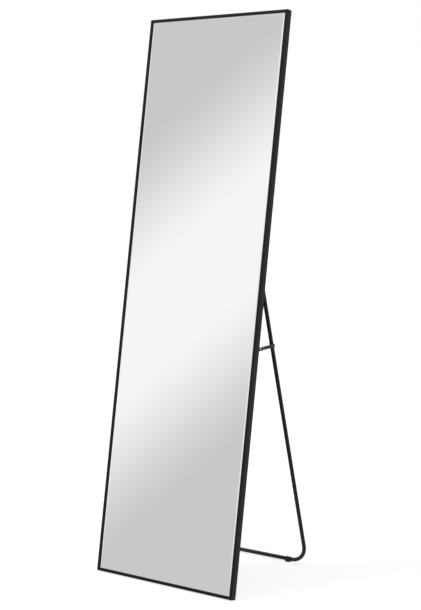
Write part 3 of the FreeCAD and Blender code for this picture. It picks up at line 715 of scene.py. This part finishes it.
@dataclass
class Stand:
    """One tube bent to a U, its plugs and its rubber feet."""

    diameter: float = 12.0 * MM
    wall: float = 1.2 * MM
    bend: float = 56.0 * MM
    girth_steps: int = 40
    bend_steps: int = 25
    foot_width: float = 11.0 * MM
    foot_wall: float = 1.3 * MM
    foot_chamfer: float = 2.5 * MM
    foot_soft: float = 0.8 * MM
    foot_end_wall: float = 0.2 * MM
    foot_play: float = 0.02 * MM
    foot_reach: float = 1.6
    foot_upper_cos: float = 0.2
    foot_girth_steps: int = 96
    foot_stations: int = 33
    blend_width: float = 0.5 * MM
    least_slope: float = 1e-3
    tube_crease_degrees: float = 40.0
    foot_crease_degrees: float = 50.0

    def centre_line(self, leg_x: float, top: float, bar: float) -> tuple[np.ndarray, np.ndarray]:
        """The tube's centre line on the leg's axes, down one leg, along the bar and up the other.

        The right bend is centre + b (cos a, -sin a) for a from 0 to a quarter turn, and the left
        one is its mirror image, run back.

        Args:
            leg_x: The legs' distance from the middle.
            top: The height of the tube's ends.
            bar: The height of the floor bar's centre.

        Returns:
            Points by (x, z), and the unit direction of travel at each.
        """
        a = np.linspace(0.0, math.pi / 2, self.bend_steps)
        bend_x, bend_z = leg_x - self.bend, bar + self.bend
        right = np.stack([bend_x + self.bend * np.cos(a), bend_z - self.bend * np.sin(a)], -1)
        right_way = np.stack([-np.sin(a), -np.cos(a)], -1)
        half = np.vstack([[(leg_x, top)], right])
        half_way = np.vstack([[(0.0, -1.0)], right_way])
        flip = np.array([-1.0, 1.0])
        return (np.vstack([half, half[::-1] * flip]),
                np.vstack([half_way, half_way[::-1] * -flip]))

    def tube(self) -> bpy.types.Object:
        """The bent tube with its wall.

        A ring at each point c of the centre line is c + r (n cos a + y sin a), where n is square to
        the travel in the stand's plane and y is square to that plane. The rings run along the
        outside and come back along the bore.

        Returns:
            The new object.
        """
        axes = leg_axes()
        low, high = axes.box("stand_tube")
        radius = self.diameter / 2
        middle = (low[1] + high[1]) / 2
        points, way = self.centre_line(high[0] - radius, high[2], low[2] + radius)
        square = np.stack([-way[:, 1], way[:, 0]], -1)
        angle = np.linspace(0.0, 2 * math.pi, self.girth_steps, endpoint=False)

        def rings(r: float) -> np.ndarray:
            """Rings of one radius at every point of the centre line.

            Args:
                r: The radius.

            Returns:
                Centre points by points round the ring by 3, on the leg's axes.
            """
            across = r * np.cos(angle)[None, :, None] * square[:, None, :]
            flat = points[:, None, :] + across
            y = np.broadcast_to(middle + r * np.sin(angle), flat.shape[:2])
            return np.stack([flat[..., 0], y, flat[..., 1]], -1)

        grid = np.concatenate([rings(radius), rings(radius - self.wall)[::-1]])
        piece = ring_shell("bent_tube", axes.to_row(grid), looped=True)
        smooth(piece, self.tube_crease_degrees)
        return piece

    def foot(self, side: Side) -> bpy.types.Object:
        """A rubber foot: a sleeve on the bar that runs into a flat-soled block under it.

        At angle a from straight down, the side of a block of half width w is met at w / sin a and
        its sole at d / cos a. The nearer of the two, and then the larger of that and the sleeve's
        radius, is taken with a soft change k: max(p, q) is (p + q + sqrt((p - q)^2 + k^2)) / 2, and
        min the same with a minus. The result never passes the sole, and round the upper part never
        the larger of block and sleeve. Towards the ends the depth d falls with the chamfer, and the
        last of the sleeve draws in on a quarter circle.

        Args:
            side: Which foot.

        Returns:
            The new object.
        """
        low, high = ROW_AXES.box(f"stand_foot_{side.label}")
        half = (high[0] - low[0]) / 2
        bore = self.diameter / 2
        sleeve = bore + self.foot_wall
        centre = np.array([(low[0] + high[0]) / 2, (low[1] + high[1]) / 2, high[2] - sleeve])
        deep = centre[2] - low[2]
        angle = np.linspace(-math.pi, math.pi, self.foot_girth_steps, endpoint=False)[None, :]
        x = np.sin(np.linspace(-math.pi / 2, math.pi / 2, self.foot_stations))[:, None] * half
        past = np.clip(np.abs(x) - (half - self.foot_chamfer), 0.0, None)
        depth = deep - past
        k = self.blend_width
        sin, cos = np.abs(np.sin(angle)), np.cos(angle)
        to_side = self.foot_width / 2 / np.maximum(sin, self.least_slope)
        to_sole = depth / np.maximum(cos, self.least_slope)
        block = (to_side + to_sole - np.sqrt((to_side - to_sole) ** 2 + k ** 2)) / 2
        block = np.where(cos > 0, np.minimum(block, deep * self.foot_reach), 0.0)
        outer = (block + sleeve + np.sqrt((block - sleeve) ** 2 + k ** 2)) / 2
        outer = np.minimum(outer, np.where(cos > self.least_slope, to_sole, sleeve))
        held = np.minimum(outer, np.maximum(sleeve, block))
        outer = np.where(cos > self.foot_upper_cos, outer, held)
        soft = np.clip((np.abs(x) - (half - self.foot_soft)) / self.foot_soft, 0.0, 1.0)
        drawn_in = outer - self.foot_soft * (1 - np.sqrt(1 - soft ** 2))
        outer = np.maximum(drawn_in, bore + self.foot_end_wall)
        radii = np.concatenate([outer, np.full((2, outer.shape[1]), bore + self.foot_play)])
        stations = np.concatenate([x, [[half], [-half]]])
        grid = np.stack([np.broadcast_to(stations, radii.shape), radii * np.sin(angle),
                         -radii * np.cos(angle)], -1) + centre
        piece = ring_shell(f"rubber_foot_{side.label}", grid, looped=True)
        smooth(piece, self.foot_crease_degrees)
        return piece

    def build(self) -> None:
        """Make the tube and the feet, and dress what rides with them."""
        tube = POWDER_COAT.dress(self.tube())
        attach(tube, "stand")
        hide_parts("stand_tube")
        for side in Side:
            foot = SOFT_RUBBER.dress(self.foot(side))
            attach(foot, "stand")
            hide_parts(f"stand_foot_{side.label}")
            MOULDED_PLASTIC.dress(frame["nodes"][f"tube_plug_{side.label}"])
            RIVET_STEEL.dress(frame["nodes"][f"stay_rivet_tail_{side.label}"])
        log.info("stand built")


@dataclass
class Stays:
    """The two folding stays: a slotted link on the frame and a plain one on the leg."""

    link_ease: float = 0.3 * MM

    def build(self) -> None:
        """Ease the links, and dress them and their rivets."""
        for side in Side:
            for kind in ("frame", "leg"):
                link = eased_copy(f"stay_{kind}_link_{side.label}", self.link_ease,
                                  f"stay_{kind}_{side.label}")
                POWDER_COAT.dress(link)
            for kind in ("mid", "leg"):
                RIVET_STEEL.dress(frame["nodes"][f"stay_{kind}_rivet_{side.label}"])
        log.info("stays built")


# ---- the studio ---------------------------------------------------------------------------------

@dataclass
class Studio:
    """A white room with a pale floor and plain soft light, and one glowing card for reflections.

    The room and the floor are white to the eye and in every reflection. The card is a painted
    reflection: it glows grey with a painted light band, and stands in front of the mirror on the
    left, where the glass shows it to the camera.
    """

    azimuth_degrees: float = 37.940148
    elevation_degrees: float = 5.377496
    target: tuple[float, float, float] = (0.162214, -0.202326, 0.816235)
    distance: float = 3.991953
    lens: float = 85.5883
    sensor: float = 36.0
    sight: float = 200.0
    card_azimuth: float = -38.9
    card_elevation: float = 9.23
    card_radius: float = 8.0
    card_lift: float = 2.0 * MM
    card_gap: float = 5.0 * MM
    card_rim: tuple[float, float] = (15.0, 18.0)
    card_top: tuple[float, float] = (24.0, 28.0)
    card_steps: tuple[int, int] = (73, 81)
    card_least_sine: float = 1e-6
    grey_half: tuple[float, float] = (5.2, 9.0)
    grey_half_height: tuple[float, float] = (12.8, 17.5)
    glow_half_height: tuple[float, float] = (4.0, 13.0)
    dim_level: float = 0.76
    band_slope: tuple[float, float] = (0.777, -0.629)
    band_offset: float = 0.29
    band_half: tuple[float, float] = (1.21, 6.04)
    grey_level: float = 0.62
    band_level: float = 0.98
    fill_level: float = 0.6
    floor_half: float = 30.0
    floor_colour: float = 0.42
    floor_glow: float = 0.76
    lamp_energy: float = 1.2
    lamp_spread_degrees: float = 25.0
    lamp_way: tuple[float, float, float] = (0.45, 0.55, -0.71)

    def eye(self) -> Vector:
        """The camera's place.

        Returns:
            Its position in metres.
        """
        a, e = math.radians(self.azimuth_degrees), math.radians(self.elevation_degrees)
        back = Vector((math.sin(a) * math.cos(e), -math.cos(a) * math.cos(e), math.sin(e)))
        return Vector(self.target) + back * self.distance

    def camera(self) -> None:
        """Put the camera at the photograph's viewing angle."""
        data = bpy.data.cameras.new("view")
        data.sensor_width = self.sensor
        data.lens = self.lens
        data.clip_end = self.sight
        camera = bpy.data.objects.new("view", data)
        camera.location = self.eye()
        ahead = Vector(self.target) - camera.location
        camera.rotation_euler = ahead.to_track_quat("-Z", "Y").to_euler()
        bpy.context.scene.collection.objects.link(camera)
        bpy.context.scene.camera = camera

    def shown(self, sheet: NodeSheet) -> Socket:
        """1 for what the eye, a reflection or clear glass shows, and 0 for the light itself.

        Args:
            sheet: The nodes of a world or material.

        Returns:
            The output socket.
        """
        path = sheet.add("ShaderNodeLightPath")
        mirrored = sheet.math("MAXIMUM", path.outputs["Is Glossy Ray"],
                              path.outputs["Is Transmission Ray"])
        return sheet.math("MAXIMUM", path.outputs["Is Camera Ray"], mirrored)

    def room(self) -> None:
        """The world: white to the eye and in reflections, and an even soft light for the rest."""
        world = bpy.data.worlds.new("room")
        world.use_nodes = True
        bpy.context.scene.world = world
        sheet = NodeSheet(world.node_tree)
        strength = sheet.towards(self.fill_level, 1.0, self.shown(sheet))
        background = sheet.add("ShaderNodeBackground")
        background.inputs["Color"].default_value = (1.0, 1.0, 1.0, 1.0)
        sheet.join(strength, background.inputs["Strength"])
        output = sheet.add("ShaderNodeOutputWorld")
        sheet.join(background.outputs[0], output.inputs["Surface"])

    def floor(self) -> None:
        """A pale floor that is white to the eye and in reflections, and keeps the soft shadow."""
        h = self.floor_half
        mesh = bpy.data.meshes.new("floor")
        mesh.from_pydata([(-h, -h, 0), (h, -h, 0), (h, h, 0), (-h, h, 0)], [], [(0, 1, 2, 3)])
        floor = bpy.data.objects.new("floor", mesh)
        bpy.context.scene.collection.objects.link(floor)
        made = bpy.data.materials.new("pale_floor")
        made.use_nodes = True
        sheet = NodeSheet(made.node_tree)
        matt = sheet.add("ShaderNodeBsdfDiffuse")
        matt.inputs["Color"].default_value = (*[self.floor_colour] * 3, 1.0)
        glow = sheet.add("ShaderNodeEmission")
        sheet.join(sheet.math("MULTIPLY", self.shown(sheet), self.floor_glow),
                   glow.inputs["Strength"])
        both = sheet.add("ShaderNodeAddShader")
        sheet.join(matt.outputs[0], both.inputs[0])
        sheet.join(glow.outputs[0], both.inputs[1])
        output = sheet.add("ShaderNodeOutputMaterial")
        sheet.join(both.outputs[0], output.inputs["Surface"])
        mesh.materials.append(made)

    def card(self) -> None:
        """A curved card that glows only in reflections, a painted reflection in the glass, whose
        foot runs along the floor towards the mirror.

        From the camera's image in the glass, the point at azimuth a and elevation e lies
        r (sin a cos e, -cos a cos e, sin e) away. There r is the card's radius, or less where that
        would reach under the floor. The lowest e is where the foot comes up to the mirror, which is
        minus the arctangent of the image's height over its distance from that line. Rows lie closer
        together towards the foot. The card's map holds a and e from its middle, in degrees.
        """
        axes = mirror_axes()
        image = axes.from_row(np.array([self.eye()]))
        image[:, 1] = 2 * axes.box("mirror_glass")[0][1] - image[:, 1]
        image = axes.to_row(image)[0]
        across = np.linspace(-self.card_rim[1], self.card_rim[1], self.card_steps[0])[None, :]
        a = np.radians(self.card_azimuth + across)
        fall = image[2] - self.card_lift
        line = ROW_AXES.box("frame_bottom_rail")[0][1] - self.card_gap
        low = -np.degrees(np.arctan(fall * np.cos(a) / (image[1] - line))) - self.card_elevation
        share = np.linspace(0.0, 1.0, self.card_steps[1])[:, None] ** 2
        up = low + share * (self.card_top[1] - low)
        e = np.radians(self.card_elevation + up)
        way = np.stack(np.broadcast_arrays(np.sin(a) * np.cos(e), -np.cos(a) * np.cos(e),
                                           np.sin(e)), axis=-1)
        to_floor = fall / np.maximum(-np.sin(e), self.card_least_sine)
        points = image + way * np.minimum(self.card_radius, to_floor)[..., None]
        rows, columns = points.shape[:2]
        first = np.arange(rows - 1)[:, None] * columns + np.arange(columns - 1)[None, :]
        faces = np.stack([first, first + 1, first + columns + 1, first + columns], axis=-1)
        mesh = bpy.data.meshes.new("grey_card")
        mesh.from_pydata(points.reshape(-1, 3).tolist(), [], faces.reshape(-1, 4).tolist())
        degrees = np.stack(np.broadcast_arrays(across, up), axis=-1).reshape(-1, 2)
        layer = mesh.uv_layers.new(name="degrees")
        layer.data.foreach_set("uv", degrees[faces.ravel()].astype(np.float32).ravel())
        mesh.materials.append(self.card_paint())
        card = bpy.data.objects.new("grey_card", mesh)
        bpy.context.scene.collection.objects.link(card)
        # Painted reflection: the card glows only in the glass and other reflections, and is hidden
        # from the eye, the soft light and shadows.
        card.visible_camera = False
        card.visible_diffuse = False
        card.visible_shadow = False

    def card_paint(self) -> bpy.types.Material:
        """The card's glow, a painted reflection: grey, with one painted light band where slope .
        (a, e) + offset is near 0.

        Beside the grey lies a painted glow, white at its middle height and dimmer above and below,
        and at its sides and top the card fades into the white room.

        Returns:
            The material.
        """
        made = bpy.data.materials.new("grey_card")
        made.use_nodes = True
        sheet = NodeSheet(made.node_tree)
        place = sheet.add("ShaderNodeSeparateXYZ")
        sheet.join(sheet.add("ShaderNodeTexCoord").outputs["UV"], place.inputs[0])
        across, up = place.outputs[0], place.outputs[1]
        aside, height = sheet.math("ABSOLUTE", across), sheet.math("ABSOLUTE", up)
        lean = sheet.math("ADD", sheet.math("MULTIPLY", across, self.band_slope[0]),
                          sheet.math("MULTIPLY", up, self.band_slope[1]))
        lean = sheet.math("ABSOLUTE", sheet.math("ADD", lean, self.band_offset))
        band = sheet.fade(lean, *self.band_half, self.band_level, self.grey_level)
        glow = sheet.fade(height, *self.glow_half_height, 1.0, self.dim_level)
        level = sheet.towards(glow, band, sheet.fade(aside, *self.grey_half, 1.0, 0.0))
        level = sheet.towards(level, self.dim_level,
                              sheet.fade(height, *self.grey_half_height, 0.0, 1.0))
        rim = sheet.math("MAXIMUM", sheet.fade(aside, *self.card_rim, 0.0, 1.0),
                         sheet.fade(up, *self.card_top, 0.0, 1.0))
        # The card's grey, light band and glow are emitted as light: a painted reflection, not a
        # lamp.
        paint = sheet.add("ShaderNodeEmission")
        sheet.join(sheet.towards(level, 1.0, rim), paint.inputs["Strength"])
        output = sheet.add("ShaderNodeOutputMaterial")
        sheet.join(paint.outputs[0], output.inputs["Surface"])
        return made

    def lamp(self) -> None:
        """One broad soft lamp, high on the front left."""
        data = bpy.data.lights.new("key", "SUN")
        data.energy = self.lamp_energy
        data.angle = math.radians(self.lamp_spread_degrees)
        lamp = bpy.data.objects.new("key", data)
        lamp.rotation_euler = Vector(self.lamp_way).to_track_quat("-Z", "Y").to_euler()
        bpy.context.scene.collection.objects.link(lamp)

    def build(self) -> None:
        """Set up the camera, the room, the floor, the card, the lamp and the view settings."""
        bpy.context.scene.view_settings.view_transform = "Standard"
        self.camera()
        self.room()
        self.floor()
        self.card()
        self.lamp()
        log.info("studio built")


def main() -> None:
    """Build the studio and each sub-assembly in order."""
    logging.basicConfig(level=logging.INFO, format="%(name)s: %(message)s")
    for piece in (Studio(), MirrorFrame(), MirrorPanel(), Fasteners(), Stand(), Stays()):
        piece.build()


if __name__ == "__main__":
    main()
